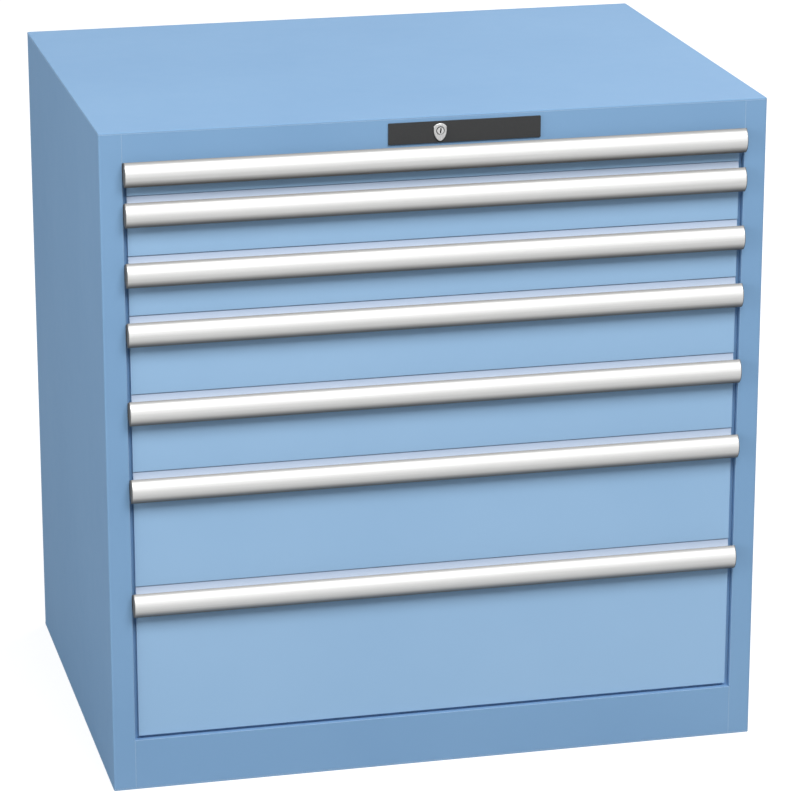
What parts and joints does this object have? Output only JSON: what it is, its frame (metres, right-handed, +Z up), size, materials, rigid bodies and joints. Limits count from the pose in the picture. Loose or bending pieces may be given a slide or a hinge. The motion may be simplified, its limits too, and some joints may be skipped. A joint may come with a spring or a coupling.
{
  "type": "drawer cabinet",
  "caption": "Steel workshop cabinet with a stack of full-extension drawers of graded heights, curved full-width grips, label strips and a central lock.",
  "frame": {"origin": "middle of the footprint, grips included, on the floor", "axes": "+Z up, +X to the right as seen from the front, the drawers open towards -Y"},
  "size_m": [0.84, 0.6259, 0.85],
  "materials": {
    "housing_paint": "satin powder coat",
    "front_paint": "satin powder coat",
    "grip_metal": "satin anodised",
    "cap_plastic": "matte",
    "label_strip": "clear cover over pale paper",
    "zinc_steel": "zinc plated",
    "rubber": "matte",
    "lock_dark": "matte",
    "lock_silver": "satin"
  },
  "bodies": {
    "housing": {"left_side_panel": "housing_paint", "right_side_panel": "housing_paint", "back_panel": "housing_paint", "top_panel": "housing_paint", "base_panel": "housing_paint", "top_rail": "housing_paint", "bottom_rail": "housing_paint", "uprights": "zinc_steel", "cabinet_rails": "zinc_steel", "rail_buffers": "rubber", "lock_plate": "lock_dark", "lock_escutcheon": "lock_silver", "lock_case": "zinc_steel", "lock_nut": "zinc_steel", "lock_guides": "zinc_steel"},
    "drawer_1": {"drawer_1_tray": "zinc_steel", "drawer_1_front": "front_paint", "drawer_1_grip": "grip_metal", "drawer_1_grip_caps": "cap_plastic"},
    "drawer_1_carriage": {"drawer_1_carriages": "zinc_steel"},
    "drawer_2": {"drawer_2_tray": "zinc_steel", "drawer_2_front": "front_paint", "drawer_2_grip": "grip_metal", "drawer_2_grip_caps": "cap_plastic", "drawer_2_label": "label_strip"},
    "drawer_2_carriage": {"drawer_2_carriages": "zinc_steel"},
    "drawer_3": {"drawer_3_tray": "zinc_steel", "drawer_3_front": "front_paint", "drawer_3_grip": "grip_metal", "drawer_3_grip_caps": "cap_plastic", "drawer_3_label": "label_strip"},
    "drawer_3_carriage": {"drawer_3_carriages": "zinc_steel"},
    "drawer_4": {"drawer_4_tray": "zinc_steel", "drawer_4_front": "front_paint", "drawer_4_grip": "grip_metal", "drawer_4_grip_caps": "cap_plastic", "drawer_4_label": "label_strip"},
    "drawer_4_carriage": {"drawer_4_carriages": "zinc_steel"},
    "drawer_5": {"drawer_5_tray": "zinc_steel", "drawer_5_front": "front_paint", "drawer_5_grip": "grip_metal", "drawer_5_grip_caps": "cap_plastic", "drawer_5_label": "label_strip"},
    "drawer_5_carriage": {"drawer_5_carriages": "zinc_steel"},
    "drawer_6": {"drawer_6_tray": "zinc_steel", "drawer_6_front": "front_paint", "drawer_6_grip": "grip_metal", "drawer_6_grip_caps": "cap_plastic", "drawer_6_label": "label_strip"},
    "drawer_6_carriage": {"drawer_6_carriages": "zinc_steel"},
    "drawer_7": {"drawer_7_tray": "zinc_steel", "drawer_7_front": "front_paint", "drawer_7_grip": "grip_metal", "drawer_7_grip_caps": "cap_plastic", "drawer_7_label": "label_strip"},
    "drawer_7_carriage": {"drawer_7_carriages": "zinc_steel"},
    "lock_cylinder": {"lock_cylinder": "lock_silver", "lock_cam": "zinc_steel"},
    "lock_transfer": {"lock_transfer_bar": "zinc_steel"},
    "lock_bar": {"lock_bar": "zinc_steel"}
  },
  "joints": [
    {"name": "drawer_1_slide", "type": "slide", "parent": "housing", "child": "drawer_1", "axis": [0, -1, 0], "range_m": [0, 0.5]},
    {"name": "drawer_1_carriage_slide", "type": "slide", "parent": "housing", "child": "drawer_1_carriage", "axis": [0, -1, 0], "range_m": [0, 0.25]},
    {"name": "drawer_2_slide", "type": "slide", "parent": "housing", "child": "drawer_2", "axis": [0, -1, 0], "range_m": [0, 0.5]},
    {"name": "drawer_2_carriage_slide", "type": "slide", "parent": "housing", "child": "drawer_2_carriage", "axis": [0, -1, 0], "range_m": [0, 0.25]},
    {"name": "drawer_3_slide", "type": "slide", "parent": "housing", "child": "drawer_3", "axis": [0, -1, 0], "range_m": [0, 0.5]},
    {"name": "drawer_3_carriage_slide", "type": "slide", "parent": "housing", "child": "drawer_3_carriage", "axis": [0, -1, 0], "range_m": [0, 0.25]},
    {"name": "drawer_4_slide", "type": "slide", "parent": "housing", "child": "drawer_4", "axis": [0, -1, 0], "range_m": [0, 0.5]},
    {"name": "drawer_4_carriage_slide", "type": "slide", "parent": "housing", "child": "drawer_4_carriage", "axis": [0, -1, 0], "range_m": [0, 0.25]},
    {"name": "drawer_5_slide", "type": "slide", "parent": "housing", "child": "drawer_5", "axis": [0, -1, 0], "range_m": [0, 0.5]},
    {"name": "drawer_5_carriage_slide", "type": "slide", "parent": "housing", "child": "drawer_5_carriage", "axis": [0, -1, 0], "range_m": [0, 0.25]},
    {"name": "drawer_6_slide", "type": "slide", "parent": "housing", "child": "drawer_6", "axis": [0, -1, 0], "range_m": [0, 0.5]},
    {"name": "drawer_6_carriage_slide", "type": "slide", "parent": "housing", "child": "drawer_6_carriage", "axis": [0, -1, 0], "range_m": [0, 0.25]},
    {"name": "drawer_7_slide", "type": "slide", "parent": "housing", "child": "drawer_7", "axis": [0, -1, 0], "range_m": [0, 0.5]},
    {"name": "drawer_7_carriage_slide", "type": "slide", "parent": "housing", "child": "drawer_7_carriage", "axis": [0, -1, 0], "range_m": [0, 0.25]},
    {"name": "lock_turn", "type": "hinge", "parent": "housing", "child": "lock_cylinder", "pos_m": [0, -0.297, 0.832], "axis": [0, 1, 0], "range_deg": [0, 90]},
    {"name": "lock_transfer_slide", "type": "slide", "parent": "housing", "child": "lock_transfer", "axis": [1, 0, 0], "range_m": [0, 0.007]},
    {"name": "lock_bar_lift", "type": "slide", "parent": "housing", "child": "lock_bar", "axis": [0, 0, 1], "range_m": [0, 0.007]}
  ],
  "couplings": [
    {"joint": "drawer_1_carriage_slide", "follows": "drawer_1_slide", "ratio": 0.5},
    {"joint": "drawer_2_carriage_slide", "follows": "drawer_2_slide", "ratio": 0.5},
    {"joint": "drawer_3_carriage_slide", "follows": "drawer_3_slide", "ratio": 0.5},
    {"joint": "drawer_4_carriage_slide", "follows": "drawer_4_slide", "ratio": 0.5},
    {"joint": "drawer_5_carriage_slide", "follows": "drawer_5_slide", "ratio": 0.5},
    {"joint": "drawer_6_carriage_slide", "follows": "drawer_6_slide", "ratio": 0.5},
    {"joint": "drawer_7_carriage_slide", "follows": "drawer_7_slide", "ratio": 0.5},
    {"joint": "lock_transfer_slide", "follows": "lock_bar_lift", "ratio": 1},
    {"joint": "lock_turn", "follows": "lock_bar_lift", "rad_per_m": 224.39}
  ]
}
